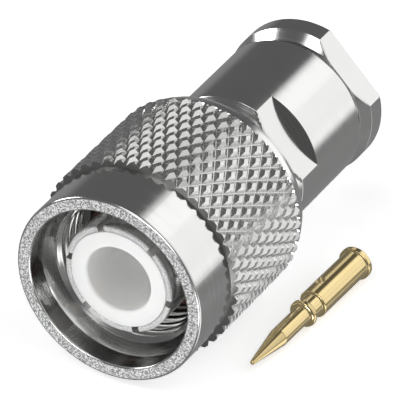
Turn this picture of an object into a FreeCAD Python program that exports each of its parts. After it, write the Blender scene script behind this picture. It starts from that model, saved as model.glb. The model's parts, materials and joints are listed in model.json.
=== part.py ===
import FreeCAD, Part
import Sketcher
import math
import os
import re

# Threaded coaxial plug for a thin round cable, clamp type, lying on its side.
# Millimetres. The origin is on the plug's axis, in the plane where its outer fingers
# and its insulator end. The axis is Y and the cable end is +Y. +Z is up.

doc = FreeCAD.newDocument("plug")
sheet = doc.addObject("Spreadsheet::Sheet", "sizes")

# Driving dimensions. Radii are measured from a piece's own axis.
dimensions = {
    # coupling nut, from its front face to its rear lip
    "faceSetback": 1.35,
    "bandWall": 1.0,
    "bandEdge": 0.22,
    "mouthEdge": 0.12,
    "knurlOffset": 4.2,
    "knurlStep": 0.17,
    "knurlDepth": 0.28,
    "knurlStarts": 46,
    "knurlRows": 10,
    "knurlPitch": 1.774,
    "knurlBed": 0.25,
    "lipStep": 0.05,
    "lipLength": 0.28,
    "lipTaper": 0.95,
    "lipDrop": 0.46,
    "threadRoom": 0.42,
    "threadDepth": 0.436,
    "threadLength": 6.05,
    "leadTaper": 0.97,
    "counterboreRoom": 0.494,
    "counterboreDepth": 1.53,
    "reliefRoom": 0.13,
    # retaining ring between the body and the coupling nut
    "ringPlace": 9.1,
    "ringThickness": 0.8,
    "ringReach": 0.65,
    "ringRoom": 0.25,
    "ringFit": 0.06,
    "ringPlay": 0.03,
    "ringGap": 1.6,
    "nutFloat": 0.4,
    # plug body
    "neckStep": 0.615,
    "fingerWall": 0.42,
    "fingerRound": 0.3,
    "slotCount": 6,
    "slotWidth": 0.55,
    "slotDepth": 5.0,
    "slotAngle": 49.8,
    "shoulderPlace": 6.2,
    "neckFit": 0.08,
    "neckWall": 0.7,
    "neckShow": 2.65,
    "grooveDepth": 0.5,
    "webPlace": 10.0,
    "webThickness": 1.2,
    "webBore": 2.5,
    "bodyStep": 0.85,
    "bodyEdge": 0.15,
    "bodyLength": 8.25,
    "seatDepth": 2.3,
    "rearWall": 0.93,
    "flatCut": 0.8,
    "flatLength": 2.15,
    "flatAngle": 39.0,
    # insulators
    "insulatorFit": 0.02,
    "socketRadius": 2.45,
    "socketDepth": 5.4,
    "pinFit": 0.045,
    "rearInsulator": 2.8,
    # coupling gasket
    "gasketStep": 0.215,
    "gasketFit": 0.05,
    "gasketWidth": 0.55,
    "gasketLength": 1.0,
    # stack that grips the cable
    "stackFit": 0.06,
    "braidBore": 1.95,
    "braidWall": 0.55,
    "braidNose": 1.7,
    "braidFlange": 1.6,
    "jacketBore": 2.65,
    "jacketDepth": 0.7,
    "edgeInset": 0.95,
    "edgeHeight": 0.5,
    "edgeHalf": 0.4,
    "gasketRim": 0.62,
    "gasketThickness": 1.8,
    "passRoom": 0.1,
    "washerThickness": 0.5,
    "stackGap": 0.02,
    # clamp nut
    "shankFit": 0.04,
    "headGap": 0.85,
    "headChamfer": 0.62,
    "headStep": 0.15,
    "headLength": 2.1,
    "headEdge": 0.1,
    "headFlatCut": 0.8,
    "headFlatAngle": 43.8,
    # contact pin, measured from its own tip
    "tipRadius": 0.16,
    "tipTaper": 3.35,
    "tineRadius": 0.675,
    "tineLength": 3.0,
    "collarStep": 0.345,
    "collarWidth": 0.35,
    "collarTaper": 0.25,
    "pinNeckStep": 0.125,
    "pinNeckLength": 0.85,
    "barrelStep": 0.245,
    "barrelLength": 5.4,
    "flangeStep": 0.195,
    "flangeWidth": 0.4,
    "wireWall": 0.525,
    "wireDepth": 5.0,
    "solderRadius": 0.4,
    "solderInset": 3.9,
    "solderAngle": 110.6,
    # where the loose pin lies, beside the plug on the same floor
    "pinAside": 7.895,
    "pinTipPlace": 4.233,
    "pinTurn": 3.23,
    # how far the tools that cut flats, slots and gaps reach past the metal
    "reach": 1.0,
}

# Places along the axis and radii that several pieces share, as sums of those sizes.
knurlFront = "knurlOffset - faceSetback"
knurlBack = knurlFront + " + knurlRows*0.5*knurlPitch"
nutRear = knurlBack + " + lipLength + lipTaper"
bodyFront = nutRear + " + neckShow"
seat = bodyFront + " + seatDepth"
bodyRear = bodyFront + " + bodyLength"
headFront = bodyRear + " + headGap"
webBack = "webPlace + webThickness"
gasketFront = "shoulderPlace - gasketLength"
stackRear = seat + " + braidFlange + gasketThickness"
edgeRadius = "jacketBore + edgeInset"
rearBore = edgeRadius + " + edgeHalf + gasketRim"
bodyRadius = rearBore + " + rearWall"
headRadius = bodyRadius + " + headStep"
neckRadius = bodyRadius + " - bodyStep"
cavityRadius = neckRadius + " - neckWall"
grooveRadius = neckRadius + " - grooveDepth"
ringOuter = neckRadius + " + ringReach"
fingerOuter = neckRadius + " - neckStep"
fingerBore = fingerOuter + " - fingerWall"
threadCrest = neckRadius + " + threadRoom"
threadMajor = threadCrest + " + threadDepth"
counterboreRadius = threadMajor + " + counterboreRoom"
bandRadius = counterboreRadius + " + bandWall"
rootRadius = bandRadius + " + knurlStep"
crestRadius = rootRadius + " + knurlDepth"
passBore = "jacketBore + passRoom"
collarRadius = "tineRadius + collarStep"
pinNeck = "tineRadius + pinNeckStep"
barrelRadius = pinNeck + " + barrelStep"
flangeRadius = barrelRadius + " + flangeStep"
pinHole = barrelRadius + " + pinFit"
collarPlace = "tipTaper + tineLength"
collarBack = collarPlace + " + collarWidth"
barrelPlace = collarBack + " + pinNeckLength + collarTaper"
flangePlace = barrelPlace + " + barrelLength"
pinRear = flangePlace + " + flangeWidth"

for row, (name, number) in enumerate(dimensions.items(), start=1):
    sheet.set("A%d" % row, name)
    sheet.set("B%d" % row, str(number))
    sheet.setAlias("B%d" % row, name)
doc.recompute()


def bound(text):
    """The expression that reads the named sizes in a sum from the sheet."""
    return re.sub(r"[A-Za-z]\w*", lambda word: "sizes." + word.group(), text)


def value(text):
    """The number that a sum of named sizes has now."""
    total = 0.0
    sign = 1.0
    for term in text.split():
        if term in "+-":
            sign = 1.0 if term == "+" else -1.0
            continue
        product = 1.0
        for factor in term.split("*"):
            product *= dimensions[factor] if factor in dimensions else float(factor)
        total += sign * product
    return total


def minus(text):
    """The same sum with every sign turned round."""
    return "0 - " + text.translate(str.maketrans("+-", "-+"))


def plane(body, role):
    return next(item for item in body.Origin.OriginFeatures if item.Role == role)


def newBody(label):
    body = doc.addObject("PartDesign::Body", label)
    body.Label = label
    return body


def closedSketch(body, name, role, outlines):
    """A sketch of closed outlines whose every corner is bound to the sheet.

    Each corner is a pair of sums of named sizes, along the sketch's own two axes."""
    sketch = body.newObject("Sketcher::SketchObject", name)
    sketch.AttachmentSupport = (plane(body, role), [""])
    sketch.MapMode = "FlatFace"
    for corners in outlines:
        first = sketch.GeometryCount
        points = [FreeCAD.Vector(value(x), value(y), 0) for x, y in corners]
        count = len(points)
        for index in range(count):
            sketch.addGeometry(Part.LineSegment(points[index], points[(index + 1) % count]))
        for index in range(count):
            after = first + (index + 1) % count
            sketch.addConstraint(Sketcher.Constraint("Coincident", first + index, 2, after, 1))
        for index, (x, y) in enumerate(corners):
            for kind, text in (("DistanceX", x), ("DistanceY", y)):
                number = sketch.addConstraint(
                    Sketcher.Constraint(kind, -1, 1, first + index, 1, value(text)))
                sketch.setExpression("Constraints[%d]" % number, bound(text))
    doc.recompute()
    return sketch


def turned(body, corners):
    """Turn an outline of (radius, place along the axis) corners about the Y axis."""
    sketch = closedSketch(body, body.Name + "_outline", "XY_Plane", [corners])
    turning = body.newObject("PartDesign::Revolution", body.Name + "_turning")
    turning.Profile = sketch
    turning.ReferenceAxis = (sketch, ["V_Axis"])
    turning.Angle = 360
    sketch.Visibility = False
    doc.recompute()
    return turning


def cut(body, name, sketch, length, both=False, reverse=False):
    """Cut a sketch out of the body and stop if the cut removes nothing."""
    before = body.Shape.Volume
    pocket = body.newObject("PartDesign::Pocket", name)
    pocket.Profile = sketch
    pocket.setExpression("Length", bound(length))
    pocket.Midplane = both
    pocket.Reversed = reverse
    doc.recompute()
    if not body.Shape.Volume < before - 1e-4:
        raise RuntimeError("%s cuts nothing" % name)
    return pocket


def turnSketch(sketch, axis, angle, offset="0"):
    """Turn a sketch about one of its own axes and move it along the plug's axis."""
    sketch.AttachmentOffset = FreeCAD.Placement(
        FreeCAD.Vector(0, 0, value(offset)), FreeCAD.Rotation(axis, value(angle)))
    sketch.setExpression(".AttachmentOffset.Rotation.Angle", bound(angle))
    if offset != "0":
        sketch.setExpression(".AttachmentOffset.Base.z", bound(offset))
    doc.recompute()


def knurlSleeve():
    """The diamond knurl as a thin sleeve, ready to be joined to the nut.

    Two hands of straight grooves cross on the root radius. Every crossing is a corner
    of four pyramids, whose peaks lie on the crest radius."""
    starts = int(dimensions["knurlStarts"])
    rows = int(dimensions["knurlRows"])
    root = value(rootRadius)
    crest = value(crestRadius)
    rowStep = dimensions["knurlPitch"] / 2
    turnStep = math.pi / starts
    front = value(knurlFront)
    back = value(knurlBack)

    def corner(turn, row, radius=root):
        angle = turn * turnStep
        return FreeCAD.Vector(radius * math.sin(angle), front + row * rowStep, radius * math.cos(angle))

    def face(points):
        return Part.Face(Part.makePolygon(points + points[:1]))

    faces = []
    ends = {0: [], rows: []}
    for row in range(rows + 1):
        for turn in range(2 * starts):
            if (row + turn) % 2 == 0:
                continue
            peak = corner(turn, row, crest)
            feet = [(turn - 1, row), (turn, row - 1), (turn + 1, row), (turn, row + 1)]
            for foot, after in zip(feet, feet[1:] + feet[:1]):
                if 0 <= min(foot[1], after[1]) and max(foot[1], after[1]) <= rows:
                    faces.append(face([corner(*foot), corner(*after), peak]))
            if row in ends:
                ends[row] += [corner(*feet[0]), peak]
    inner = value(bandRadius + " - knurlBed")
    for row, place in ((0, front), (rows, back)):
        ring = Part.Wire(Part.makeCircle(inner, FreeCAD.Vector(0, place, 0), FreeCAD.Vector(0, 1, 0)).Edges)
        star = Part.makePolygon(ends[row] + ends[row][:1])
        faces.append(Part.makeFace([star, ring], "Part::FaceMakerBullseye"))
    bore = Part.makeCylinder(inner, back - front, FreeCAD.Vector(0, front, 0), FreeCAD.Vector(0, 1, 0))
    faces.append(max(bore.Faces, key=lambda side: side.Area))
    shell = Part.makeShell(faces)
    shell.sewShape()
    solid = Part.makeSolid(shell)
    if solid.Volume < 0:
        solid.reverse()
    return solid


def makeCouplingNut():
    """Brass nut, open at the front for the mating thread and knurled outside."""
    blank = newBody("coupling_nut_blank")
    front = minus("faceSetback")
    counterbore = "counterboreDepth - faceSetback"
    thread = counterbore + " + leadTaper"
    relief = thread + " + threadLength"
    reliefRadius = threadCrest + " + reliefRoom"
    grooveFront = "ringPlace - ringPlay"
    grooveBack = "ringPlace + ringThickness + ringPlay"
    nutGroove = ringOuter + " + ringRoom"
    lipRadius = bandRadius + " + lipStep"
    turned(blank, [
        (counterboreRadius + " + mouthEdge", front),
        (bandRadius + " - bandEdge", front),
        (bandRadius, front + " + bandEdge"),
        (bandRadius, knurlBack + " - knurlBed"),
        (lipRadius, knurlBack + " - knurlBed"),
        (lipRadius, knurlBack + " + lipLength"),
        (lipRadius + " - lipDrop", nutRear),
        (neckRadius + " + neckFit", nutRear),
        (neckRadius + " + neckFit", grooveBack),
        (nutGroove, grooveBack),
        (nutGroove, grooveFront),
        (reliefRadius, grooveFront),
        (reliefRadius, relief),
        (threadCrest, relief),
        (threadCrest, thread + " + threadDepth"),
        (threadMajor, thread),
        (counterboreRadius, counterbore),
        (counterboreRadius, front + " + mouthEdge"),
    ])
    knurl = doc.addObject("Part::Feature", "knurl")
    knurl.Shape = knurlSleeve()
    nut = doc.addObject("Part::Fuse", "coupling_nut")
    nut.Label = "coupling_nut"
    nut.Base = blank
    nut.Tool = knurl
    doc.recompute()
    return nut


def makeRetainingRing():
    """Split spring ring that snaps into the body's groove and carries the nut."""
    body = newBody("retaining_ring")
    inner = grooveRadius + " + ringFit"
    back = "ringPlace + ringThickness"
    turned(body, [
        (inner, "ringPlace"),
        (ringOuter, "ringPlace"),
        (ringOuter, back),
        (inner, back),
    ])
    gap = closedSketch(body, "ring_gap", "YZ_Plane", [[
        ("ringPlace - reach", "0 - 0.5*ringGap"),
        (back + " + reach", "0 - 0.5*ringGap"),
        (back + " + reach", "0.5*ringGap"),
        ("ringPlace - reach", "0.5*ringGap"),
    ]])
    cut(body, "ring_split", gap, ringOuter + " + reach")
    return body


def makePlugBody():
    """One turned piece: slotted fingers, neck, ring groove and threaded rear barrel."""
    body = newBody("plug_body")
    gasketSeat = fingerOuter + " + gasketStep"
    grooveFront = "ringPlace - ringPlay"
    grooveBack = "ringPlace + ringThickness + nutFloat + ringPlay"
    turned(body, [
        (fingerBore, "0"),
        (fingerOuter + " - fingerRound", "0"),
        (fingerOuter + " - 0.29*fingerRound", "0.29*fingerRound"),
        (fingerOuter, "fingerRound"),
        (fingerOuter, gasketFront),
        (gasketSeat, gasketFront),
        (gasketSeat, "shoulderPlace"),
        (neckRadius, "shoulderPlace"),
        (neckRadius, grooveFront),
        (grooveRadius, grooveFront),
        (grooveRadius, grooveBack),
        (neckRadius, grooveBack),
        (neckRadius, bodyFront),
        (bodyRadius + " - bodyEdge", bodyFront),
        (bodyRadius, bodyFront + " + bodyEdge"),
        (bodyRadius, bodyRear + " - bodyEdge"),
        (bodyRadius + " - bodyEdge", bodyRear),
        (rearBore, bodyRear),
        (rearBore, seat),
        (cavityRadius, seat),
        (cavityRadius, webBack),
        ("webBore", webBack),
        ("webBore", "webPlace"),
        (fingerBore, "webPlace"),
    ])
    # one slot goes straight through both walls, so half the slots are patterned
    slot = closedSketch(body, "finger_slot", "YZ_Plane", [[
        ("0 - reach", "0 - 0.5*slotWidth"),
        ("slotDepth", "0 - 0.5*slotWidth"),
        ("slotDepth", "0.5*slotWidth"),
        ("0 - reach", "0.5*slotWidth"),
    ]])
    turnSketch(slot, FreeCAD.Vector(1, 0, 0), minus("slotAngle"))
    across = fingerOuter + " + " + fingerOuter + " + 2*reach"
    slotting = cut(body, "finger_slotting", slot, across, both=True)
    pairs = int(dimensions["slotCount"] / 2)
    pattern = body.newObject("PartDesign::PolarPattern", "finger_slots")
    pattern.Originals = [slotting]
    pattern.Axis = (plane(body, "Y_Axis"), [""])
    pattern.Angle = 180 - 180 / pairs
    pattern.Occurrences = pairs
    body.Tip = pattern
    doc.recompute()
    flats = wrenchFlats(body, "wrench_flats", bodyRadius, "flatCut", "flatAngle", bodyFront)
    cut(body, "wrench_flat_cut", flats, "flatLength")
    return body


def wrenchFlats(body, name, radius, depth, angle, place):
    """Two rectangles outside a pair of wrench flats, in a plane across the axis."""
    half = radius + " - " + depth
    outer = radius + " + reach"
    sketch = closedSketch(body, name, "XZ_Plane", [
        [(half, minus(outer)), (outer, minus(outer)), (outer, outer), (half, outer)],
        [(minus(half), minus(outer)), (minus(half), outer),
         (minus(outer), outer), (minus(outer), minus(outer))],
    ])
    turnSketch(sketch, FreeCAD.Vector(0, 0, 1), angle, minus(place))
    return sketch


def makeFrontInsulator():
    """Dielectric with the round socket that takes the mating insulator."""
    body = newBody("front_insulator")
    turned(body, [
        ("socketRadius", "0"),
        (fingerBore + " - insulatorFit", "0"),
        (fingerBore + " - insulatorFit", "webPlace"),
        ("webBore - insulatorFit", "webPlace"),
        ("webBore - insulatorFit", webBack),
        (pinHole, webBack),
        (pinHole, "socketDepth"),
        ("socketRadius", "socketDepth"),
    ])
    return body


def makeRearInsulator():
    """Dielectric washer behind the web, against which the pin's flange seats."""
    body = newBody("rear_insulator")
    outer = cavityRadius + " - insulatorFit"
    back = webBack + " + rearInsulator"
    turned(body, [
        (pinHole, webBack),
        (outer, webBack),
        (outer, back),
        (pinHole, back),
    ])
    return body


def makeCouplingGasket():
    """Ring that seals the mating plug's rim against the body's shoulder."""
    body = newBody("coupling_gasket")
    inner = fingerOuter + " + gasketStep + gasketFit"
    turned(body, [
        (inner, gasketFront),
        (inner + " + gasketWidth", gasketFront),
        (inner + " + gasketWidth", "shoulderPlace"),
        (inner, "shoulderPlace"),
    ])
    return body


def makeBraidClamp():
    """Flanged sleeve over the cable's braid, with a sharp ring that bites the gasket."""
    body = newBody("braid_clamp")
    nose = seat + " - braidNose"
    back = seat + " + braidFlange"
    turned(body, [
        ("braidBore", nose),
        ("braidBore + braidWall", nose),
        (cavityRadius + " - stackFit - edgeHalf", seat),
        (rearBore + " - stackFit", seat),
        (rearBore + " - stackFit", back),
        (edgeRadius + " + edgeHalf", back),
        (edgeRadius, back + " + edgeHeight"),
        (edgeRadius + " - edgeHalf", back),
        ("jacketBore", back),
        ("jacketBore", back + " - jacketDepth"),
        ("braidBore", back + " - jacketDepth"),
    ])
    return body


def makeCableGasket():
    """Soft ring with a V groove that is squeezed onto the cable's jacket."""
    body = newBody("cable_gasket")
    front = seat + " + braidFlange + stackGap"
    turned(body, [
        ("jacketBore", front),
        (edgeRadius + " - edgeHalf", front),
        (edgeRadius, front + " + edgeHeight"),
        (edgeRadius + " + edgeHalf", front),
        (rearBore + " - stackFit", front),
        (rearBore + " - stackFit", stackRear),
        ("jacketBore", stackRear),
    ])
    return body


def makeThrustWasher():
    """Flat washer that lets the clamp nut turn without dragging the gasket round."""
    body = newBody("thrust_washer")
    front = stackRear + " + stackGap"
    back = front + " + washerThickness"
    turned(body, [
        (passBore, front),
        (rearBore + " - stackFit", front),
        (rearBore + " - stackFit", back),
        (passBore, back),
    ])
    return body


def makeClampNut():
    """Nut that screws into the body's rear and squeezes the cable stack."""
    body = newBody("clamp_nut")
    front = stackRear + " + 2*stackGap + washerThickness"
    shank = rearBore + " - shankFit"
    rear = headFront + " + headLength"
    turned(body, [
        (passBore, front),
        (shank, front),
        (shank, headFront),
        (headRadius + " - headChamfer", headFront),
        (headRadius, headFront + " + headChamfer"),
        (headRadius, rear + " - headEdge"),
        (headRadius + " - headEdge", rear),
        (passBore, rear),
    ])
    flats = wrenchFlats(body, "clamp_flats", headRadius, "headFlatCut", "headFlatAngle", headFront)
    cut(body, "clamp_flat_cut", flats, "headLength + reach")
    return body


def makeContactPin():
    """Gold centre contact, lying loose beside the plug on its collar and flange."""
    body = newBody("contact_pin")
    turned(body, [
        ("0", "0"),
        ("tipRadius", "0"),
        ("tineRadius", "tipTaper"),
        ("tineRadius", collarPlace),
        (collarRadius, collarPlace),
        (collarRadius, collarBack),
        (pinNeck, collarBack + " + collarTaper"),
        (pinNeck, barrelPlace),
        (barrelRadius, barrelPlace),
        (barrelRadius, flangePlace),
        (flangeRadius, flangePlace),
        (flangeRadius, pinRear),
        (barrelRadius + " - wireWall", pinRear),
        (barrelRadius + " - wireWall", pinRear + " - wireDepth"),
        ("0", pinRear + " - wireDepth"),
    ])
    hole = body.newObject("Sketcher::SketchObject", "solder_hole")
    hole.AttachmentSupport = (plane(body, "YZ_Plane"), [""])
    hole.MapMode = "FlatFace"
    solderPlace = flangePlace + " - solderInset"
    centre = FreeCAD.Vector(value(solderPlace), 0, 0)
    hole.addGeometry(Part.Circle(centre, FreeCAD.Vector(0, 0, 1), value("solderRadius")))
    hole.addConstraint(Sketcher.Constraint("PointOnObject", 0, 3, -1))
    along = hole.addConstraint(Sketcher.Constraint("DistanceX", -1, 1, 0, 3, value(solderPlace)))
    hole.setExpression("Constraints[%d]" % along, bound(solderPlace))
    size = hole.addConstraint(Sketcher.Constraint("Radius", 0, value("solderRadius")))
    hole.setExpression("Constraints[%d]" % size, bound("solderRadius"))
    turnSketch(hole, FreeCAD.Vector(1, 0, 0), minus("solderAngle"))
    cut(body, "solder_drilling", hole, barrelRadius + " + reach", reverse=True)
    # the flange stands out further than the collar, so the pin lies nose down
    rise = value(flangeRadius) - value(collarRadius)
    slope = math.asin(rise / (value(flangePlace) - value(collarPlace)))
    height = value(flangeRadius) * math.cos(slope) - value(flangePlace) * math.sin(slope)
    body.Placement = FreeCAD.Placement(
        FreeCAD.Vector(value("pinAside"), value("pinTipPlace"), height - value(crestRadius)),
        FreeCAD.Rotation(-value("pinTurn"), 0, math.degrees(slope)))
    doc.recompute()
    return body


pieces = [
    makeCouplingNut(),
    makeRetainingRing(),
    makePlugBody(),
    makeFrontInsulator(),
    makeRearInsulator(),
    makeCouplingGasket(),
    makeBraidClamp(),
    makeCableGasket(),
    makeThrustWasher(),
    makeClampNut(),
    makeContactPin(),
]
doc.recompute()

for item in doc.Objects:
    if "Invalid" in item.State or "Error" in item.State:
        raise RuntimeError("%s failed: %s" % (item.Label, item.State))
for piece in pieces:
    if piece.Shape.isNull() or not piece.Shape.isValid() or len(piece.Shape.Solids) != 1:
        raise RuntimeError("%s is not one valid solid" % piece.Label)

os.makedirs("parts", exist_ok=True)
for piece in pieces:
    piece.Shape.exportStep("parts/%s.step" % piece.Label)
    print(piece.Label, "volume %.2f" % piece.Shape.Volume, "faces", len(piece.Shape.Faces))
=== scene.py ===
import json
import math

import bmesh
import bpy
import numpy as np
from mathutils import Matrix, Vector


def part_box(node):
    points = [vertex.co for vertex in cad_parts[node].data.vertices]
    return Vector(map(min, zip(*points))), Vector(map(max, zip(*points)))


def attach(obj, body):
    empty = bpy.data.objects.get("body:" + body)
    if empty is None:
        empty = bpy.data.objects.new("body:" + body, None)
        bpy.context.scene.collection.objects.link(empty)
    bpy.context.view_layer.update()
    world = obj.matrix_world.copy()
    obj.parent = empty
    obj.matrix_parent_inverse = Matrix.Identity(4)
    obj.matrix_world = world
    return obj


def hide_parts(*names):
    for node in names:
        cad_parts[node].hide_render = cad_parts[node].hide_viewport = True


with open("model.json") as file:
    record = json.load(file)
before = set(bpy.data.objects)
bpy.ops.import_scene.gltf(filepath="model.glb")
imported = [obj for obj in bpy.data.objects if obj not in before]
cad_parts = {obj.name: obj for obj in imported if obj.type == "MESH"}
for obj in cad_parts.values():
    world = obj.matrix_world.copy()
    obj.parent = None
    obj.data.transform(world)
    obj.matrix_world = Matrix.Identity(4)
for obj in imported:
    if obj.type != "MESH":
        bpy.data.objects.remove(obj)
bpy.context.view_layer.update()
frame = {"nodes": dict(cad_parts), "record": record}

# Threaded coaxial plug with its loose centre pin. Sizes are in millimetres and turn into metres
# where a mesh is made. The plug's axis is Y, with the cable end at +Y, and angles about it run
# from +Z towards +X.

mm = 0.001
slack = 1e-6                     # for comparing places, radii and angles
sharpEdge = 28                   # degrees past which an edge is drawn sharp
bright = 0                       # a piece's first material
print("frame loaded:", ", ".join(sorted(frame["nodes"])))


# Colours and materials

def linear(code):
    # sRGB hex to linear light: a straight line near black, a 2.4 power above it
    parts = [int(code[k:k + 2], 16) / 255 for k in (1, 3, 5)]
    return [p / 12.92 if p <= 0.04045 else ((p + 0.055) / 1.055) ** 2.4 for p in parts] + [1.0]


def addNode(tree, kind, inputs=(), **settings):
    # one node with its settings; an input is a number, a colour or another node's output
    node = tree.nodes.new(kind)
    for name, setting in settings.items():
        setattr(node, name, setting)
    for name, given in dict(inputs).items():
        if isinstance(given, bpy.types.NodeSocket):
            tree.links.new(given, node.inputs[name])
        else:
            node.inputs[name].default_value = given
    return node


def newMaterial(name):
    material = bpy.data.materials.new(name)
    material.use_nodes = True
    material.node_tree.nodes.clear()
    return material, material.node_tree


def latheCoordinates(tree, turned=None):
    # a lathe leaves rings, so a pattern reads distance from the axis plus place along it,
    # with the way round counted far more loosely
    looseness = 0.03
    place = addNode(tree, "ShaderNodeTexCoord").outputs["Object"]
    if turned is not None:
        place = addNode(tree, "ShaderNodeMapping", {"Vector": place, **turned},
                        vector_type="TEXTURE").outputs["Vector"]
    parts = addNode(tree, "ShaderNodeSeparateXYZ", {"Vector": place})
    flat = addNode(tree, "ShaderNodeCombineXYZ", {"X": parts.outputs["X"], "Y": parts.outputs["Z"]})
    radius = addNode(tree, "ShaderNodeVectorMath", {0: flat.outputs[0]}, operation="LENGTH")
    around = addNode(tree, "ShaderNodeVectorMath", {0: flat.outputs[0], "Scale": looseness},
                     operation="SCALE")
    along = addNode(tree, "ShaderNodeMath", {0: radius.outputs["Value"], 1: parts.outputs["Y"]},
                    operation="ADD")
    rings = addNode(tree, "ShaderNodeCombineXYZ", {"X": along.outputs[0]})
    both = addNode(tree, "ShaderNodeVectorMath", {0: around.outputs[0], 1: rings.outputs[0]},
                   operation="ADD")
    return place, both.outputs[0]


noiseSpan = (0.3, 0.7)           # a noise node's values hardly leave it


def platedMetal(name, look, turned=None):
    # plated turned metal: a mirror-like coat that still shows the tool's rings as faint streaks
    material, tree = newMaterial(name)
    place, rings = latheCoordinates(tree, turned)
    lines = addNode(tree, "ShaderNodeTexNoise", {
        "Vector": rings, "Scale": 1 / (look["ringSpacing"] * mm), "Detail": 3.0, "Roughness": 0.6})
    waves = addNode(tree, "ShaderNodeTexNoise", {
        "Vector": place, "Scale": 1 / (look["waveSize"] * mm), "Detail": 2.0})
    shine = addNode(tree, "ShaderNodeMapRange", {
        "Value": lines.outputs["Fac"], "From Min": noiseSpan[0], "From Max": noiseSpan[1],
        "To Min": look["roughness"][0], "To Max": look["roughness"][1]})
    tint = addNode(tree, "ShaderNodeMix", {
        0: waves.outputs["Fac"], 6: linear(look["colours"][0]), 7: linear(look["colours"][1])},
        data_type="RGBA")
    grooves = addNode(tree, "ShaderNodeBump", {
        "Height": lines.outputs["Fac"], "Distance": look["ringDepth"] * mm, "Strength": 1.0})
    uneven = addNode(tree, "ShaderNodeBump", {
        "Height": waves.outputs["Fac"], "Distance": look["waveDepth"] * mm, "Strength": 1.0,
        "Normal": grooves.outputs["Normal"]})
    metal = addNode(tree, "ShaderNodeBsdfPrincipled", {
        "Base Color": tint.outputs[2], "Metallic": 1.0, "Roughness": shine.outputs[0],
        "Normal": uneven.outputs["Normal"]})
    addNode(tree, "ShaderNodeOutputMaterial", {"Surface": metal.outputs["BSDF"]})
    return material


nickelLook = {                   # a near mirror of white metal, softened a little by the turning
    "ringSpacing": 0.13,         # real tool marks are finer; drawn just wide enough to show
    "ringDepth": 0.0006,
    "waveSize": 2.5,
    "waveDepth": 0.004,
    "roughness": (0.10, 0.20),
    "colours": ("#d5d5d4", "#dbdbda"),
}
# rolled faces are softer and uneven, so each pyramid of the knurl glints differently
knurlLook = dict(nickelLook, waveSize=0.3, waveDepth=0.028, roughness=(0.20, 0.32))
# where the knurl runs out, the wall is painted dark grey as painted shade for that shaded step, and its
# metal is rougher and dull
runOutShadeLook = dict(nickelLook, roughness=(0.28, 0.4), colours=("#7c7c7b", "#8a8a89"))
faceLook = {                     # pale grey and grainy, with no mirror image in it
    "grain": 0.22,
    "grainDepth": 0.05,
    "dustSpan": (0.4, 0.6),      # narrow, so the grains part into dark and light
    "roughness": 0.38,
    "metallic": 0.45,            # the crust scatters much of its light
    "colours": ("#858584", "#ffffff"),
}
# the sawn tips are finer grained than the nut's face, and painted lighter: a painted highlight on the
# finger tips
tipHighlightLook = dict(faceLook, grain=0.12, metallic=0.3, colours=("#b4b4b3", "#ffffff"))
goldLook = {                     # a thin coat of gold: a pale yellow near mirror
    "ringSpacing": 0.1,
    "ringDepth": 0.0005,
    "waveSize": 1.5,
    "waveDepth": 0.003,
    "roughness": (0.10, 0.18),
    "colours": ("#dac48f", "#e4cf9b"),
}
# unplated spring bronze: brown and satin
bronzeLook = dict(goldLook, colours=("#b08a60", "#bb9468"), roughness=(0.22, 0.34))


def facedMetal(name, look):
    # an end cut with a coarse tool and plated over: a crust of small facets, half of them dull,
    # with a dust of half their size
    material, tree = newMaterial(name)
    place = addNode(tree, "ShaderNodeTexCoord").outputs["Object"]
    crust = addNode(tree, "ShaderNodeTexVoronoi", {
        "Vector": place, "Scale": 1 / (look["grain"] * mm), "Randomness": 1.0}, feature="F1")
    dust = addNode(tree, "ShaderNodeTexNoise", {
        "Vector": place, "Scale": 2 / (look["grain"] * mm), "Detail": 3.0})
    spread = addNode(tree, "ShaderNodeMapRange", {
        "Value": dust.outputs["Fac"], "From Min": look["dustSpan"][0], "From Max": look["dustSpan"][1]})
    tint = addNode(tree, "ShaderNodeMix", {
        0: spread.outputs[0], 6: linear(look["colours"][0]), 7: linear(look["colours"][1])},
        data_type="RGBA")
    height = addNode(tree, "ShaderNodeMath", {0: crust.outputs["Distance"], 1: dust.outputs["Fac"]},
                     operation="ADD")
    bump = addNode(tree, "ShaderNodeBump", {
        "Height": height.outputs[0], "Distance": look["grainDepth"] * mm, "Strength": 0.8})
    metal = addNode(tree, "ShaderNodeBsdfPrincipled", {
        "Base Color": tint.outputs[2], "Metallic": look["metallic"], "Roughness": look["roughness"],
        "Normal": bump.outputs["Normal"]})
    addNode(tree, "ShaderNodeOutputMaterial", {"Surface": metal.outputs["BSDF"]})
    return material


def softMaterial(name, look):
    # fluoropolymer and rubber: matt to waxy, with light going a little way in, red the furthest
    material, tree = newMaterial(name)
    rings = latheCoordinates(tree)[1]
    grain = addNode(tree, "ShaderNodeTexNoise", {
        "Vector": rings, "Scale": 1 / (look["grain"] * mm), "Detail": 3.0})
    tint = addNode(tree, "ShaderNodeMix", {
        0: grain.outputs["Fac"], 6: linear(look["colours"][0]), 7: linear(look["colours"][1])},
        data_type="RGBA")
    bump = addNode(tree, "ShaderNodeBump", {
        "Height": grain.outputs["Fac"], "Distance": look["grainDepth"] * mm, "Strength": 0.5})
    body = addNode(tree, "ShaderNodeBsdfPrincipled", {
        "Base Color": tint.outputs[2], "Roughness": look["roughness"], "IOR": look["ior"],
        "Subsurface Weight": look["depth"], "Subsurface Radius": (0.5 * mm, 0.45 * mm, 0.4 * mm),
        "Subsurface Scale": 1.0, "Normal": bump.outputs["Normal"]})
    addNode(tree, "ShaderNodeOutputMaterial", {"Surface": body.outputs["BSDF"]})
    return material


fluoropolymerLook = {            # a waxy white that stays light in its own shade
    "grain": 0.2,
    "grainDepth": 0.002,
    "roughness": 0.42,
    "ior": 1.35,
    "depth": 0.5,
    "colours": ("#efefee", "#f5f5f4"),
}
siliconeLook = {                 # matt, and dark enough to stay unseen in the polished bore
    "grain": 0.15,
    "grainDepth": 0.004,
    "roughness": 0.6,
    "ior": 1.41,
    "depth": 0.1,
    "colours": ("#4c342e", "#584039"),
}

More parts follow.
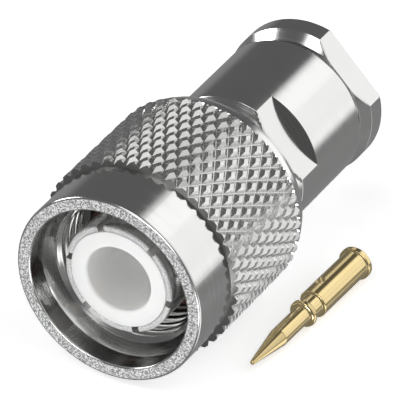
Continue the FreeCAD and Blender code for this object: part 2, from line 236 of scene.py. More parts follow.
nickel = platedMetal("bright_nickel_plate_on_turned_brass", nickelLook)
knurledNickel = platedMetal("nickel_plate_on_rolled_knurl", knurlLook)
# the knurl's front wall takes painted shade: a dark grey base colour stands in for the shade on that step
runOutShadeNickel = platedMetal("nickel_plate_painted_dark_as_shade_in_knurl_run_out", runOutShadeLook)
facedNickel = facedMetal("dull_nickel_plate_on_faced_brass", faceLook)
# the finger tips take a painted highlight: their lighter base colour stands in for the light their rims
# catch
tipHighlightNickel = facedMetal("dull_nickel_plate_on_sawn_finger_tips", tipHighlightLook)
fluoropolymer = softMaterial("machined_white_fluoropolymer", fluoropolymerLook)
silicone = softMaterial("moulded_red_silicone", siliconeLook)
bronze = platedMetal("plain_spring_bronze", bronzeLook)
print("materials made")


# Meshes

def cornerAt(radius, place, rounding=0, finish=bright, cuts=1):
    # finish belongs to the strip from this corner to the next, and cuts divide that strip
    return radius, place, rounding, finish, cuts


def roundedOutline(corners, closed=True, arcSteps=5, guard=0.02):
    # A rounded corner is an arc of circle that touches both sides. Each point of it, seen from the
    # arc's middle, is the sum of the two ends, weighed by the sines of the angle to go and the
    # angle gone, over the sine of the whole. A guard row each side keeps smooth shading inside it.
    rows = []
    for k, (radius, place, rounding, finish, cuts) in enumerate(corners):
        here = np.array([radius, place])
        if rounding == 0:
            rows.append((here, finish, cuts))
            continue
        lastRadius, lastPlace, _, lastFinish, _ = corners[k - 1]
        nextRadius, nextPlace, *_ = corners[(k + 1) % len(corners)]
        back = np.array([lastRadius, lastPlace]) - here
        on = np.array([nextRadius, nextPlace]) - here
        back, on = back / np.linalg.norm(back), on / np.linalg.norm(on)
        half = math.acos(float(np.clip(back @ on, -1, 1))) / 2
        reach = rounding / math.tan(half)
        middle = here + (back + on) / np.linalg.norm(back + on) * rounding / math.sin(half)
        span = math.pi - 2 * half
        t = np.linspace(0, 1, arcSteps + 1)[:, None]
        start, end = here + back * reach - middle, here + on * reach - middle
        arc = middle + (np.sin((1 - t) * span) * start + np.sin(t * span) * end) / math.sin(span)
        rows.append((here + back * (reach + guard), lastFinish, 1))
        rows += [(point, bright, 1) for point in arc[:-1]]
        rows.append((arc[-1], finish, 1))
        rows.append((here + on * (reach + guard), finish, cuts))
    points, finishes = [], []
    for k, (point, finish, cuts) in enumerate(rows):
        then = rows[(k + 1) % len(rows)][0] if closed or k + 1 < len(rows) else point
        for share in np.arange(cuts) / cuts:
            points.append(point + (then - point) * share)
            finishes.append(finish)
    return np.array(points), np.array(finishes)


def spreadAngles(count, extra=()):
    # evenly spaced angles, with extra ones, in degrees, where an edge needs its own column;
    # an even one less than a quarter step from an extra one makes way for it
    even = np.arange(count) * 360 / count
    extra = np.mod(np.array(extra, float), 360)
    apart = np.abs((extra[None] - even[:, None] + 180) % 360 - 180)
    keep = even[np.all(apart > 90 / count, axis=1)]
    return np.radians(np.sort(np.concatenate([keep, extra])))


def turnedPoints(radius, place, angle):
    # a turned surface: x = radius sin(angle), z = radius cos(angle), y = place
    return np.stack(np.broadcast_arrays(radius * np.sin(angle), place, radius * np.cos(angle)), axis=-1)


def gridQuads(rowCount, columnCount, closedRows=True):
    # one quad between each row and the next, and each column and the next, which go round
    i = np.arange(rowCount if closedRows else rowCount - 1)[:, None]
    j = np.arange(columnCount)[None, :]
    i, j = np.broadcast_arrays(i, j)
    down, across = (i + 1) % rowCount, (j + 1) % columnCount
    return np.stack([i * columnCount + j, i * columnCount + across,
                     down * columnCount + across, down * columnCount + j], axis=-1)


def flatEdges(part, radius):
    # two opposite flats meet the round at acos(half / radius) either side of their normals
    edge = math.degrees(math.acos(part["flatHalf"] / radius))
    return [part["flatNormal"] + turn + side for turn in (0, 180) for side in (-edge, edge)]


def flatLimit(part, angle):
    # two opposite flats hold the radius to half / |cos(angle from their normal)|
    lean = np.abs(np.cos(angle - math.radians(part["flatNormal"])))
    return part["flatHalf"] / np.maximum(lean, slack)


def threadWave(place, angle, pitch):
    # a right-hand thread from 0 to 1 and back: a cosine wave whose phase is place / pitch less
    # angle / full turn
    phase = place / pitch - angle / (2 * math.pi)
    return 0.5 - 0.5 * np.cos(2 * math.pi * phase)


def newPiece(name, points, faceSets, finishSets, materials, sharpAngle=sharpEdge, weld=0.0003):
    # points are in millimetres, and those closer than the weld become one
    mesh = bpy.data.meshes.new(name)
    points = points.reshape(-1, 3) * mm
    faceSets = [faces.reshape(-1, faces.shape[-1]) for faces in faceSets]
    finishes = np.concatenate([np.broadcast_to(f, len(faces)) for f, faces in zip(finishSets, faceSets)])
    sides = np.concatenate([np.full(len(faces), faces.shape[1]) for faces in faceSets])
    loops = np.concatenate([faces.ravel() for faces in faceSets])
    mesh.vertices.add(len(points))
    mesh.vertices.foreach_set("co", points.ravel())
    mesh.loops.add(len(loops))
    mesh.loops.foreach_set("vertex_index", loops.astype(np.int32))
    mesh.polygons.add(len(sides))
    mesh.polygons.foreach_set("loop_start", (np.cumsum(sides) - sides).astype(np.int32))
    mesh.update(calc_edges=True)
    mesh.polygons.foreach_set("material_index", finishes.astype(np.int32))
    shape = bmesh.new()
    shape.from_mesh(mesh)
    bmesh.ops.remove_doubles(shape, verts=shape.verts, dist=weld * mm)
    bmesh.ops.recalc_face_normals(shape, faces=shape.faces)
    shape.to_mesh(mesh)
    shape.free()
    mesh.validate()
    for material in materials:
        mesh.materials.append(material)
    piece = bpy.data.objects.new(name, mesh)
    bpy.context.scene.collection.objects.link(piece)
    mesh.shade_smooth()
    mesh.set_sharp_from_angle(angle=math.radians(sharpAngle))
    return piece


def fit(piece, node, body):
    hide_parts(node)
    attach(piece, body)
    print("made", piece.name, "with", len(piece.data.polygons), "faces")


# Coupling nut: a smooth band, a diamond knurl and a plain rear lip outside, the thread inside

nut = {
    "front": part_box("coupling_nut")[0].y / mm,
    "rear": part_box("coupling_nut")[1].y / mm,
    "crestRadius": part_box("coupling_nut")[1].z / mm,
    "bandRadius": 7.05,
    "bandEdge": 0.16,
    "mouthRadius": 6.05,
    "mouthDepth": 1.53,
    "mouthEdge": 0.1,
    "leadTaper": 0.97,           # from the mouth's floor to the thread
    "leadEdge": 0.04,
    "threadMajor": 5.556,
    "threadMinor": 5.12,
    "threadPitch": 0.907,
    "threadLength": 6.05,
    "threadRows": 112,
    "threadStart": 0.3,          # from the taper, the crests reach full height over this length
    "startRows": 16,
    "relief": 5.25,
    "groove": (5.6, 9.07, 9.93),     # radius, front and rear
    "bore": 4.78,
    "boreEdge": 0.06,
    "knurlOffset": 4.2,
    "knurlRoot": 7.22,
    "knurlStarts": 46,
    "knurlRows": 10,
    "knurlPitch": 1.774,
    "knurlFlat": 0.40,           # the cut-off top, as a share of the pyramid's height
    "knurlStrip": 0.06,          # groove floor, as a share of the pitch
    "knurlLean": 0.15,           # of the front wall, along the axis for each step outwards
    "lipStart": (7.42, 0.04),    # radius, and how far behind the knurl's end
    "lipBend": (7.21, 0.7),      # the same where the lip's slope turns steeper
    "lipRear": 6.96,             # radius at the rear face
    "lipEdge": 0.05,
}


def knurlPoint(turn, row, radius):
    # turn counts half the spacing of the starts, and row counts half pitches behind the front wall
    angle = turn * math.pi / nut["knurlStarts"]
    place = nut["front"] + nut["knurlOffset"] + row * nut["knurlPitch"] / 2
    return turnedPoints(radius, place, angle)


def knurlSurface():
    # Two hands of grooves cross on the root radius, with narrow floors. Each pyramid stands between
    # four crossings, a step to the left, in front, to the right and behind, and is cut off at the
    # crest radius: its top corners lie a share of the way from the peak to each foot.
    root, crest, strip = nut["knurlRoot"], nut["crestRadius"], nut["knurlStrip"]
    apex = root + (crest - root) / (1 - nut["knurlFlat"])
    rows, starts = nut["knurlRows"], nut["knurlStarts"]
    row, start = np.meshgrid(np.arange(rows + 1), np.arange(starts), indexing="ij")
    turn = 2 * start + 1 - row % 2
    step = 1 - strip
    peak = knurlPoint(turn, row, apex)
    feet = np.stack([knurlPoint(turn - step, row, root), knurlPoint(turn, row - step, root),
                     knurlPoint(turn + step, row, root), knurlPoint(turn, row + step, root)], axis=2)
    out = knurlPoint(turn, row, 1.0) - knurlPoint(turn, row, 0.0)
    share = (apex - crest) / np.einsum("rskc,rsc->rsk", peak[:, :, None] - feet, out)
    tops = peak[:, :, None] + (feet - peak[:, :, None]) * share[..., None]
    # the front wall leans back: its points move along the axis as far as they stand out, times the lean
    for corners in (feet, tops):
        stand = np.hypot(corners[0, :, ::2, 0], corners[0, :, ::2, 2]) - nut["bandRadius"]
        corners[0, :, ::2, 1] += stand * nut["knurlLean"]
    # a pyramid's four feet come first, then its four top corners
    points = np.concatenate([feet, tops], axis=2)
    ids = np.arange(points.size // 3).reshape(points.shape[:3])
    left, front, right, back = ids[..., 0], ids[..., 1], ids[..., 2], ids[..., 3]
    # in the rows in front and behind, a pyramid's diagonal neighbours are these two
    later = (start + 1 - row % 2) % starts
    sooner = (later - 1) % starts
    sides = np.stack([ids[:, :, [k, (k + 1) % 4, 4 + (k + 1) % 4, 4 + k]] for k in range(4)], axis=2)
    up = row[:-1] + 1
    floors = [
        np.stack([right[:-1], back[:-1], left[up, later[:-1]], front[up, later[:-1]]], axis=-1),
        np.stack([back[:-1], left[:-1], front[up, sooner[:-1]], right[up, sooner[:-1]]], axis=-1),
    ]
    beside = np.roll(left, -1, axis=1)
    middle, ahead = later[1:-1], row[1:-1]
    crossings = np.stack([back[ahead - 1, middle], beside[1:-1],
                          front[ahead + 1, middle], right[1:-1]], axis=-1)
    quads = [sides[1:-1], sides[0, :, 2:], sides[-1, :, :2], ids[1:-1, :, 4:], crossings] + floors
    ends = [ids[0][:, [4, 6, 7]], ids[-1][:, [4, 5, 6]],
            np.stack([right[0], beside[0], front[1, later[0]]], axis=-1),
            np.stack([back[rows - 1, later[rows]], beside[rows], right[rows]], axis=-1)]
    edge = np.stack([feet[:, :, 0], tops[:, :, 0], tops[:, :, 2], feet[:, :, 2]], axis=2)
    return points, quads + ends, edge[0].reshape(-1, 3), edge[-1].reshape(-1, 3)


def makeCouplingNut():
    # a profile carried round the axis from the knurl's rear edge, through the bore, to its front
    # edge; where it is threaded, the radius is the greater of the profile's and the thread's
    faced, knurled, runOut, threaded = 1, 2, 3, 4
    knurl, knurlFaces, frontStar, rearStar = knurlSurface()
    angle = np.arctan2(frontStar[:, 0], frontStar[:, 2])
    mouth = nut["front"] + nut["mouthDepth"]
    lead = mouth + nut["leadTaper"]
    threadEnd = lead + nut["threadLength"]
    knurlRear = rearStar[0, 1]
    grooveRadius, grooveFront, grooveRear = nut["groove"]
    (lipRadius, lipGap), (bendRadius, bendPlace) = nut["lipStart"], nut["lipBend"]
    outline, finishes = roundedOutline([
        cornerAt(lipRadius, knurlRear + lipGap),
        cornerAt(bendRadius, knurlRear + bendPlace, rounding=nut["lipEdge"]),
        cornerAt(nut["lipRear"], nut["rear"], rounding=nut["lipEdge"]),
        cornerAt(nut["bore"], nut["rear"], rounding=nut["boreEdge"]),
        cornerAt(nut["bore"], grooveRear),
        cornerAt(grooveRadius, grooveRear),
        cornerAt(grooveRadius, grooveFront),
        cornerAt(nut["relief"], grooveFront),
        cornerAt(nut["relief"], threadEnd),
        cornerAt(nut["threadMinor"], threadEnd, finish=threaded, cuts=nut["threadRows"]),
        cornerAt(nut["threadMinor"], lead + nut["threadStart"], finish=threaded, cuts=nut["startRows"]),
        cornerAt(nut["threadMajor"], lead, rounding=nut["leadEdge"]),
        cornerAt(nut["mouthRadius"], mouth, rounding=nut["leadEdge"]),
        cornerAt(nut["mouthRadius"], nut["front"], rounding=nut["mouthEdge"], finish=faced),
        cornerAt(nut["bandRadius"], nut["front"], rounding=nut["bandEdge"]),
        cornerAt(nut["bandRadius"], nut["front"] + nut["knurlOffset"]),
    ], closed=False)
    radius, place = outline[:, :1], outline[:, 1:]
    depth = (nut["threadMajor"] - nut["threadMinor"]) * threadWave(place, angle[None], nut["threadPitch"])
    isThread = (finishes == threaded)[:, None]
    radius = np.where(isThread, np.maximum(radius, nut["threadMinor"] + depth), radius)
    body = turnedPoints(radius, place, angle[None])
    grid = np.concatenate([rearStar[None], body, frontStar[None]])
    quads = gridQuads(len(grid), len(angle), closedRows=False)
    strips = np.concatenate([[bright], np.where(finishes == faced, faced, bright)])
    # the wall in front of the knurl gets the painted shade finish
    strips[-1] = runOut          # the wall in front of the knurl
    knurlStart = grid.size // 3
    return newPiece("coupling_nut_turned", np.concatenate([grid.reshape(-1, 3), knurl.reshape(-1, 3)]),
                    [quads] + [faces + knurlStart for faces in knurlFaces],
                    [np.repeat(strips, len(angle))] + [knurled] * len(knurlFaces),
                    [nickel, facedNickel, knurledNickel, runOutShadeNickel], weld=0.001)


fit(makeCouplingNut(), "coupling_nut", "coupling")


# Plug body: slotted contact fingers, neck with ring groove, rear barrel with wrench flats

plug = {
    "front": 0.0,
    "fingerBore": 3.665,
    "fingerOuter": 4.085,
    "tipRound": 0.14,
    "tipDepth": 0.16,            # how far back the sawn finish reaches
    "slots": 6,
    "slotWidth": 0.55,
    "slotDepth": 5.0,
    "slotAngle": 40.2,
    "gasketSeat": (4.3, 5.2),    # radius and front
    "seatEdge": 0.03,
    "shoulder": 6.2,
    "shoulderEdge": 0.05,
    "neck": 4.7,
    "groove": (4.2, 9.07, 10.33),    # radius, front and rear
    "barrelFront": 15.6,
    "barrelChamfer": 0.72,
    "barrelRadius": 5.55,
    "barrelEdge": 0.06,
    "barrelRear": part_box("plug_body")[1].y / mm,
    "flatHalf": 4.75,
    "flatRear": 17.75,
    "flatWall": 0.0002,          # length of the step behind the flats, as good as none
    "flatGuard": 0.02,           # rows either side of that step keep its shading sharp
    "flatNormal": 51.0,
    "chamferRows": 12,
    "barrelRows": 4,
    "rearBore": 4.62,
    "rearBoreEdge": 0.08,
    "seat": 17.9,
    "cavity": 4.0,
    "web": (2.5, 10.0, 11.2),    # bore, front and rear
    "columns": 144,
}


def makePlugBody():
    # a profile carried round the axis; on the flats the radius is the lesser of the profile's
    # and the flats', and the slots are left out and walled
    sawn = 1
    seatRadius, seatFront = plug["gasketSeat"]
    grooveRadius, grooveFront, grooveRear = plug["groove"]
    webBore, webFront, webRear = plug["web"]
    front, slotEnd = plug["front"], plug["front"] + plug["slotDepth"]
    chamferFront = plug["barrelFront"] - plug["barrelChamfer"]
    outline, _ = roundedOutline([
        cornerAt(plug["fingerBore"], webFront),
        cornerAt(plug["fingerBore"], slotEnd),
        cornerAt(plug["fingerBore"], front, rounding=plug["tipRound"]),
        cornerAt(plug["fingerOuter"], front, rounding=plug["tipRound"]),
        cornerAt(plug["fingerOuter"], slotEnd),
        cornerAt(plug["fingerOuter"], seatFront),
        cornerAt(seatRadius, seatFront, rounding=plug["seatEdge"]),
        cornerAt(seatRadius, plug["shoulder"]),
        cornerAt(plug["neck"], plug["shoulder"], rounding=plug["shoulderEdge"]),
        cornerAt(plug["neck"], grooveFront),
        cornerAt(grooveRadius, grooveFront),
        cornerAt(grooveRadius, grooveRear),
        cornerAt(plug["neck"], grooveRear),
        cornerAt(plug["neck"], chamferFront, cuts=plug["chamferRows"]),
        cornerAt(plug["barrelRadius"], plug["barrelFront"], rounding=plug["barrelEdge"],
                 cuts=plug["barrelRows"]),
        cornerAt(plug["barrelRadius"], plug["flatRear"] - plug["flatGuard"]),
        cornerAt(plug["barrelRadius"], plug["flatRear"]),
        cornerAt(plug["barrelRadius"], plug["flatRear"] + plug["flatWall"]),
        cornerAt(plug["barrelRadius"], plug["flatRear"] + plug["flatGuard"], cuts=plug["barrelRows"]),
        cornerAt(plug["barrelRadius"], plug["barrelRear"], rounding=plug["barrelEdge"]),
        cornerAt(plug["rearBore"], plug["barrelRear"], rounding=plug["rearBoreEdge"]),
        cornerAt(plug["rearBore"], plug["seat"]),
        cornerAt(plug["cavity"], plug["seat"]),
        cornerAt(plug["cavity"], webRear),
        cornerAt(webBore, webRear),
        cornerAt(webBore, webFront),
    ])
    halfSlot = math.degrees(math.asin(plug["slotWidth"] / 2 / plug["fingerOuter"]))
    slotMiddles = plug["slotAngle"] + np.arange(plug["slots"]) * 360 / plug["slots"]
    slotEdges = np.concatenate([slotMiddles - halfSlot, slotMiddles + halfSlot])
    edges = np.concatenate([slotEdges, flatEdges(plug, plug["barrelRadius"])])
    columns = spreadAngles(plug["columns"], edges)
    radius, place = outline[:, :1], outline[:, 1:]
    # slot walls are parallel, so the angle of an edge column is asin(half width / radius)
    gap = (np.degrees(columns)[None] - slotMiddles[:, None] + 180) % 360 - 180
    nearest = np.abs(gap).argmin(axis=0)
    gap = gap[nearest, np.arange(len(columns))]
    isEdge = np.abs(np.abs(gap) - halfSlot) < slack
    inFingers = (place < slotEnd + slack) & (radius < plug["neck"])
    edgeAngle = np.radians(slotMiddles[nearest])[None] + np.sign(gap)[None] * np.arcsin(
        plug["slotWidth"] / 2 / radius)
    angle = np.where(isEdge[None] & inFingers, edgeAngle, columns[None])
    onFlat = ((place <= plug["flatRear"] + slack) & (place > chamferFront - slack)
              & (radius > plug["neck"] + slack))
    radius = np.where(onFlat, np.minimum(radius, flatLimit(plug, angle)), radius)
    points = turnedPoints(radius, place, angle)
    quads = gridQuads(len(outline), len(columns))
    # the strips between the slots' edges are left out from floor to tip to floor
    atSlotEnd = np.isclose(outline[:, 1], slotEnd)
    first = int(np.flatnonzero(atSlotEnd & np.isclose(outline[:, 0], plug["fingerBore"]))[0])
    last = int(np.flatnonzero(atSlotEnd & np.isclose(outline[:, 0], plug["fingerOuter"]))[0])
    inSlot = (np.abs(gap) < halfSlot - slack) | (isEdge & (gap < 0))
    rowIds = np.arange(len(outline))
    cut = ((rowIds >= first) & (rowIds < last))[:, None] & inSlot[None]
    ids = np.arange(len(outline) * len(columns)).reshape(len(outline), -1)
    j = np.flatnonzero(inSlot)
    after = (j + 1) % len(columns)
    floors = np.stack([ids[first, j], ids[first, after], ids[last, after], ids[last, j]], axis=-1)
    walls = ids[first:last + 1, np.flatnonzero(isEdge)].T
    # the tips' finish holds a painted highlight in its lighter colour as well as the sawn grain
    finish = np.broadcast_to(np.where(place < plug["tipDepth"], sawn, bright), cut.shape)
    return newPiece("plug_body_turned", points, [quads[~cut], floors, walls],
                    [finish[~cut], bright, bright], [nickel, tipHighlightNickel])


fit(makePlugBody(), "plug_body", "shell")


# White insulator: a deep round socket with the pin's hole in its floor

insulator = {
    "socket": (2.45, 5.4),       # radius and depth
    "socketRim": 0.22,
    "socketCorner": 0.2,         # rounding between the socket's wall and floor
    "wallRows": 4,
    "outer": 3.645,
    "outerRim": 0.06,
    "length": 10.0,
    "spigot": (2.48, 11.2),      # radius and rear
    "pinHole": 1.09,
    "pinHoleRim": 0.1,
    "columns": 128,
}


def makeInsulator():
    # a profile carried round the axis
    socketRadius, socketDepth = insulator["socket"]
    spigotRadius, spigotEnd = insulator["spigot"]
    outline, _ = roundedOutline([
        cornerAt(socketRadius, 0.0, rounding=insulator["socketRim"]),
        cornerAt(insulator["outer"], 0.0, rounding=insulator["outerRim"]),
        cornerAt(insulator["outer"], insulator["length"]),
        cornerAt(spigotRadius, insulator["length"]),
        cornerAt(spigotRadius, spigotEnd),
        cornerAt(insulator["pinHole"], spigotEnd),
        cornerAt(insulator["pinHole"], socketDepth, rounding=insulator["pinHoleRim"]),
        cornerAt(socketRadius, socketDepth, rounding=insulator["socketCorner"],
                 cuts=insulator["wallRows"]),
    ])
    angle = spreadAngles(insulator["columns"])
    points = turnedPoints(outline[:, :1], outline[:, 1:], angle[None])
    return newPiece("front_insulator_turned", points, [gridQuads(len(outline), len(angle))], [bright],
                    [fluoropolymer], sharpAngle=35)


fit(makeInsulator(), "front_insulator", "shell")


# Clamp nut: threaded shank, chamfered head with two flats

clamp = {
    "front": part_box("clamp_nut")[0].y / mm,
    "rear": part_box("clamp_nut")[1].y / mm,
    "bore": 2.75,
    "boreEdges": (0.1, 0.15),    # front and rear
    "shank": 4.58,
    "threadDepth": 0.34,
    "threadPitch": 0.794,
    "threadRows": 64,
    "headFront": 24.7,
    "noseRadius": 5.08,
    "noseEdge": 0.04,
    "chamfer": 0.62,
    "chamferEdge": 0.03,
    "headRadius": 5.7,
    "headEdge": 0.1,
    "headRows": (2, 14, 4, 3),   # on the head's front, chamfer, side and rear
    "flatHalf": 4.9,
    "flatNormal": 46.2,
    "columns": 240,
}


def makeClampNut():
    # a profile carried round the axis; the radius is the least of the profile's, the thread's on
    # the shank, and the flats' on the head
    threaded = 1
    head = clamp["headFront"]
    frontEdge, rearEdge = clamp["boreEdges"]
    frontRows, chamferRows, sideRows, rearRows = clamp["headRows"]
    outline, finishes = roundedOutline([
        cornerAt(clamp["bore"], clamp["front"], rounding=frontEdge),
        cornerAt(clamp["shank"], clamp["front"], finish=threaded, cuts=clamp["threadRows"]),
        cornerAt(clamp["shank"], head, cuts=frontRows),
        cornerAt(clamp["noseRadius"], head, rounding=clamp["noseEdge"], cuts=chamferRows),
        cornerAt(clamp["headRadius"], head + clamp["chamfer"], rounding=clamp["chamferEdge"],
                 cuts=sideRows),
        cornerAt(clamp["headRadius"], clamp["rear"], rounding=clamp["headEdge"], cuts=rearRows),
        cornerAt(clamp["bore"], clamp["rear"], rounding=rearEdge),
    ])
    angle = spreadAngles(clamp["columns"], flatEdges(clamp, clamp["headRadius"]))[None]
    radius, place = outline[:, :1], outline[:, 1:]
    thread = clamp["shank"] - clamp["threadDepth"] * threadWave(place, angle, clamp["threadPitch"])
    shaped = np.where((finishes == threaded)[:, None], np.minimum(radius, thread), radius)
    shaped = np.where(place >= head - slack, np.minimum(shaped, flatLimit(clamp, angle)), shaped)
    points = turnedPoints(shaped, place, angle)
    return newPiece("clamp_nut_turned", points, [gridQuads(len(outline), angle.size)], [bright], [nickel])


fit(makeClampNut(), "clamp_nut", "clamp")


# Loose centre pin: long taper, collar, neck, soldering barrel and end flange

pin = {
    "length": 13.6,
    "tip": 0.16,
    "tipRound": 0.1,
    "taper": 3.35,
    "taperBend": 1.2,            # the taper runs gently into the straight tines
    "tine": 0.675,
    "collar": (1.02, 6.35, 6.7),     # radius, front and rear
    "collarRound": 0.22,
    "neck": (0.8, 6.95),         # radius and front, as in the next two
    "barrel": (1.045, 7.8),
    "flange": (1.24, 13.2),
    "wireCup": (0.52, 5.0),      # radius and depth
    "edge": 0.06,                # where no other rounding is named
    "fillet": 0.02,
    "neckFillet": 0.08,
    "barrelEdge": 0.07,
    "rearEdge": 0.08,
    "cupCorner": 0.05,
    "solderHole": (0.4, 9.3, 110.6),     # radius, place and angle
    "drillReach": 2.0,
    "drillColumns": 48,
    "columns": 96,
}


def pinAxes():
    # the pin lies along the record's wire cup mount; its own x is level
    cup = next(m for m in frame["record"]["mounts"] if m["name"] == "pin_wire_cup")
    along = np.array(cup["axis"], float)
    along /= np.linalg.norm(along)
    side = np.cross(along, [0.0, 0.0, 1.0])
    side /= np.linalg.norm(side)
    tip = np.array(cup["pos_m"]) / mm - along * pin["length"]
    return tip, np.stack([side, along, np.cross(side, along)])


pinTip, pinTurn = pinAxes()
gold = platedMetal("bright_gold_plate_on_turned_brass", goldLook, {
    "Location": tuple(pinTip * mm),
    "Rotation": (math.asin(pinTurn[1][2]), 0, -math.atan2(pinTurn[1][0], pinTurn[1][1]))})


def makeDrill():
    # a closed cylinder from the wire cup out through one wall: a circle about the hole's middle,
    # drawn in to a point at both ends
    holeRadius, holePlace, holeAngle = pin["solderHole"]
    turn = math.radians(holeAngle)
    outward = np.array([math.cos(turn), 0, math.sin(turn)])
    level = np.array([-math.sin(turn), 0, math.cos(turn)])
    along = np.array([0, 1.0, 0])
    around = spreadAngles(pin["drillColumns"])[None, :, None]
    circle = holeRadius * (np.cos(around) * level + np.sin(around) * along)
    width = np.array([0.0, 1.0, 1.0, 0.0])[:, None, None]
    reach = pin["drillReach"] * np.array([0.0, 0.0, 1.0, 1.0])[:, None, None] * outward
    points = circle * width + reach + holePlace * along
    return newPiece("drill", points @ pinTurn + pinTip,
                    [gridQuads(len(width), pin["drillColumns"], closedRows=False)], [bright], [gold])


def makePin():
    # a profile carried round the pin's own axis, with the solder hole drilled afterwards
    collarRadius, collarFront, collarRear = pin["collar"]
    neckRadius, neckFront = pin["neck"]
    barrelRadius, barrelFront = pin["barrel"]
    flangeRadius, flangeFront = pin["flange"]
    cupRadius, cupDepth = pin["wireCup"]
    outline, _ = roundedOutline([
        cornerAt(0.0, 0.0),
        cornerAt(pin["tip"], 0.0, rounding=pin["tipRound"]),
        cornerAt(pin["tine"], pin["taper"], rounding=pin["taperBend"]),
        cornerAt(pin["tine"], collarFront, rounding=pin["fillet"]),
        cornerAt(collarRadius, collarFront, rounding=pin["collarRound"]),
        cornerAt(collarRadius, collarRear, rounding=pin["edge"]),
        cornerAt(neckRadius, neckFront, rounding=pin["neckFillet"]),
        cornerAt(neckRadius, barrelFront, rounding=pin["fillet"]),
        cornerAt(barrelRadius, barrelFront, rounding=pin["barrelEdge"]),
        cornerAt(barrelRadius, flangeFront, rounding=pin["fillet"]),
        cornerAt(flangeRadius, flangeFront, rounding=pin["edge"]),
        cornerAt(flangeRadius, pin["length"], rounding=pin["rearEdge"]),
        cornerAt(cupRadius, pin["length"], rounding=pin["edge"]),
        cornerAt(cupRadius, pin["length"] - cupDepth, rounding=pin["cupCorner"]),
        cornerAt(0.0, pin["length"] - cupDepth),
    ], closed=False)
    angle = spreadAngles(pin["columns"])
    local = turnedPoints(outline[:, :1], outline[:, 1:], angle[None])
    piece = newPiece("contact_pin_turned", local @ pinTurn + pinTip,
                     [gridQuads(len(outline), len(angle), closedRows=False)], [bright], [gold])
    drill = makeDrill()
    drilling = piece.modifiers.new("solder_hole", "BOOLEAN")
    drilling.operation, drilling.solver, drilling.object = "DIFFERENCE", "EXACT", drill
    bpy.context.view_layer.update()
    graph = bpy.context.evaluated_depsgraph_get()
    drilled = bpy.data.meshes.new_from_object(piece.evaluated_get(graph))
    piece.modifiers.clear()
    piece.data = drilled
    bpy.data.objects.remove(drill)
    drilled.shade_smooth()
    drilled.set_sharp_from_angle(angle=math.radians(sharpEdge))
    return piece


contactPin = makePin()
contactPin.visible_glossy = False    # the nut's mirror finish shows no pin in the photograph
fit(contactPin, "contact_pin", "shell")


# Pieces whose CAD shape stays, with their own finish

kept = {
    "retaining_ring": bronze,
    "rear_insulator": fluoropolymer,
    "coupling_gasket": silicone,
    "braid_clamp": nickel,
    "cable_gasket": silicone,
    "thrust_washer": nickel,
}
for nodeName, material in kept.items():
    node = frame["nodes"][nodeName]
    if not node.material_slots:
        node.data.materials.append(material)
    for materialSlot in node.material_slots:
        materialSlot.material = material
print("CAD pieces dressed:", ", ".join(kept))


# Floor, light and camera

stage = {
    "floorRings": (0.0, 40.0, 400.0, 1500.0),
    "floorColumns": 96,
    "floorGrain": 25.0,
    "floorColours": ("#f4f4f4", "#fafafa"),
    "floorGlow": 0.55,           # a lit table: the floor shines through from below
}
room = {
    "above": 0.13,
    "below": 0.26,
    "horizon": (-0.15, 0.1),     # the two blend between these heights
}
lights = {
    # direction, radius of the full part and of the soft edge in degrees, brightness
    "keyUpper": ((0.32, 0.7235, 0.61), 9, 19, 1.25),
    "keyMiddle": ((0.574, 0.7235, 0.384), 11, 18, 1.12),
    "keyLower": ((0.687, 0.7235, 0.07), 7, 18, 1.1),
    "rightHigh": ((0.60, 0.08, 0.80), 16, 28, 1.0),
    "right": ((0.92, 0.106, 0.371), 22, 34, 0.75),
    "lowRight": ((0.75, 0.25, -0.61), 20, 31, 1.1),
    "left": ((-0.90, -0.20, 0.39), 9, 14, 9.0),
    "overhead": ((-0.05, -0.52, 0.85), 10, 15, 2.5),
    "front": ((0.0, -0.99, 0.12), 9, 18, 6.5),
    "behind": ((0.17, 0.98, -0.03), 10, 16, 1.2),
    "lowFront": ((0.25, -0.82, -0.51), 6, 11, 7.0),
    "sideFront": ((0.62, -0.67, -0.41), 6, 11, 1.4),
}
view = {
    "azimuth": 29.4456,
    "elevation": 33.8371,
    "distance": 399.6,
    "focal": 540.0,
    "sensor": 36.0,
    "clip": (0.01, 10.0),        # in metres
    "target": (0.0, -1.35, 0.0),
    "across": -6.134,            # where the target lies in the picture, from its middle
    "up": -5.981,
}


def makeFloor():
    # flat rings: x = reach sin(angle), y = reach cos(angle)
    floorZ = -nut["crestRadius"]
    angle = spreadAngles(stage["floorColumns"])[None]
    reach = np.array(stage["floorRings"])[:, None]
    points = np.stack(np.broadcast_arrays(reach * np.sin(angle), reach * np.cos(angle), floorZ), axis=-1)
    # acrylic with a lamp under it: an even white that takes no hard shadow
    material, tree = newMaterial("white_backlit_acrylic")
    grain = addNode(tree, "ShaderNodeTexNoise", {
        "Vector": addNode(tree, "ShaderNodeTexCoord").outputs["Object"],
        "Scale": 1 / (stage["floorGrain"] * mm)})
    tint = addNode(tree, "ShaderNodeMix", {
        0: grain.outputs["Fac"], 6: linear(stage["floorColours"][0]), 7: linear(stage["floorColours"][1])},
        data_type="RGBA")
    surface = addNode(tree, "ShaderNodeBsdfPrincipled", {
        "Base Color": tint.outputs[2], "Roughness": 0.7, "Emission Color": linear("#ffffff"),
        "Emission Strength": stage["floorGlow"]})
    addNode(tree, "ShaderNodeOutputMaterial", {"Surface": surface.outputs["BSDF"]})
    quads = gridQuads(len(reach), angle.size, closedRows=False)
    floor = newPiece("floor", points, [quads], [bright], [material])
    floor.visible_glossy = False     # bright metal mirrors the studio, not the table


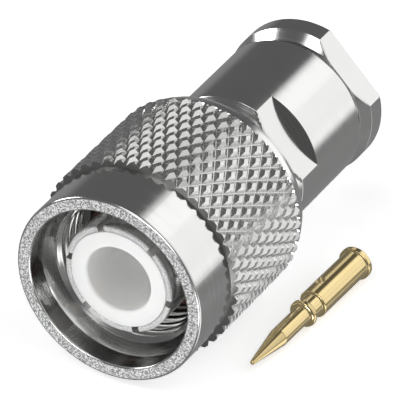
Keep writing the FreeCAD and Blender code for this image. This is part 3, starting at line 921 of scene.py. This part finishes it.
def makeLight():
    # a studio of round soft boxes: each is bright where the direction lies within its radius of
    # the middle and falls off smoothly to the edge, and where two overlap the brighter one counts
    world = bpy.data.worlds.new("soft_studio")
    world.use_nodes = True
    tree = world.node_tree
    tree.nodes.clear()
    towards = addNode(tree, "ShaderNodeTexCoord").outputs["Generated"]
    height = addNode(tree, "ShaderNodeSeparateXYZ", {"Vector": towards}).outputs["Z"]
    walls = addNode(tree, "ShaderNodeMapRange", {
        "Value": height, "From Min": room["horizon"][0], "From Max": room["horizon"][1],
        "To Min": room["below"], "To Max": room["above"]}, interpolation_type="SMOOTHSTEP").outputs[0]
    brightest = 0.0
    for direction, inner, outer, power in lights.values():
        middle = np.array(direction) / np.linalg.norm(direction)
        near = addNode(tree, "ShaderNodeVectorMath", {0: towards, 1: middle}, operation="DOT_PRODUCT")
        glow = addNode(tree, "ShaderNodeMapRange", {
            "Value": near.outputs["Value"], "From Min": math.cos(math.radians(outer)),
            "From Max": math.cos(math.radians(inner)), "To Min": 0.0, "To Max": power},
            interpolation_type="SMOOTHSTEP")
        brightest = addNode(tree, "ShaderNodeMath", {0: brightest, 1: glow.outputs[0]},
                            operation="MAXIMUM").outputs[0]
    total = addNode(tree, "ShaderNodeMath", {0: walls, 1: brightest}, operation="ADD")
    surface = addNode(tree, "ShaderNodeBackground", {
        "Color": linear("#ffffff"), "Strength": total.outputs[0]})
    addNode(tree, "ShaderNodeOutputWorld", {"Surface": surface.outputs[0]})
    bpy.context.scene.world = world


def makeCamera():
    turn, lift = math.radians(view["azimuth"]), math.radians(view["elevation"])
    back = np.array([math.sin(turn) * math.cos(lift), -math.cos(turn) * math.cos(lift), math.sin(lift)])
    right = np.array([math.cos(turn), math.sin(turn), 0.0])
    up = np.cross(back, right)
    middle = np.array(view["target"]) - right * view["across"] - up * view["up"]
    data = bpy.data.cameras.new("camera")
    data.sensor_width, data.lens = view["sensor"], view["focal"]
    data.clip_start, data.clip_end = view["clip"]
    camera = bpy.data.objects.new("camera", data)
    bpy.context.scene.collection.objects.link(camera)
    camera.location = (middle + back * view["distance"]) * mm
    camera.rotation_euler = (math.pi / 2 - lift, 0, turn)
    bpy.context.scene.camera = camera


makeFloor()
makeLight()
makeCamera()
bpy.context.scene.view_settings.view_transform = "Standard"
print("floor, light and camera made")
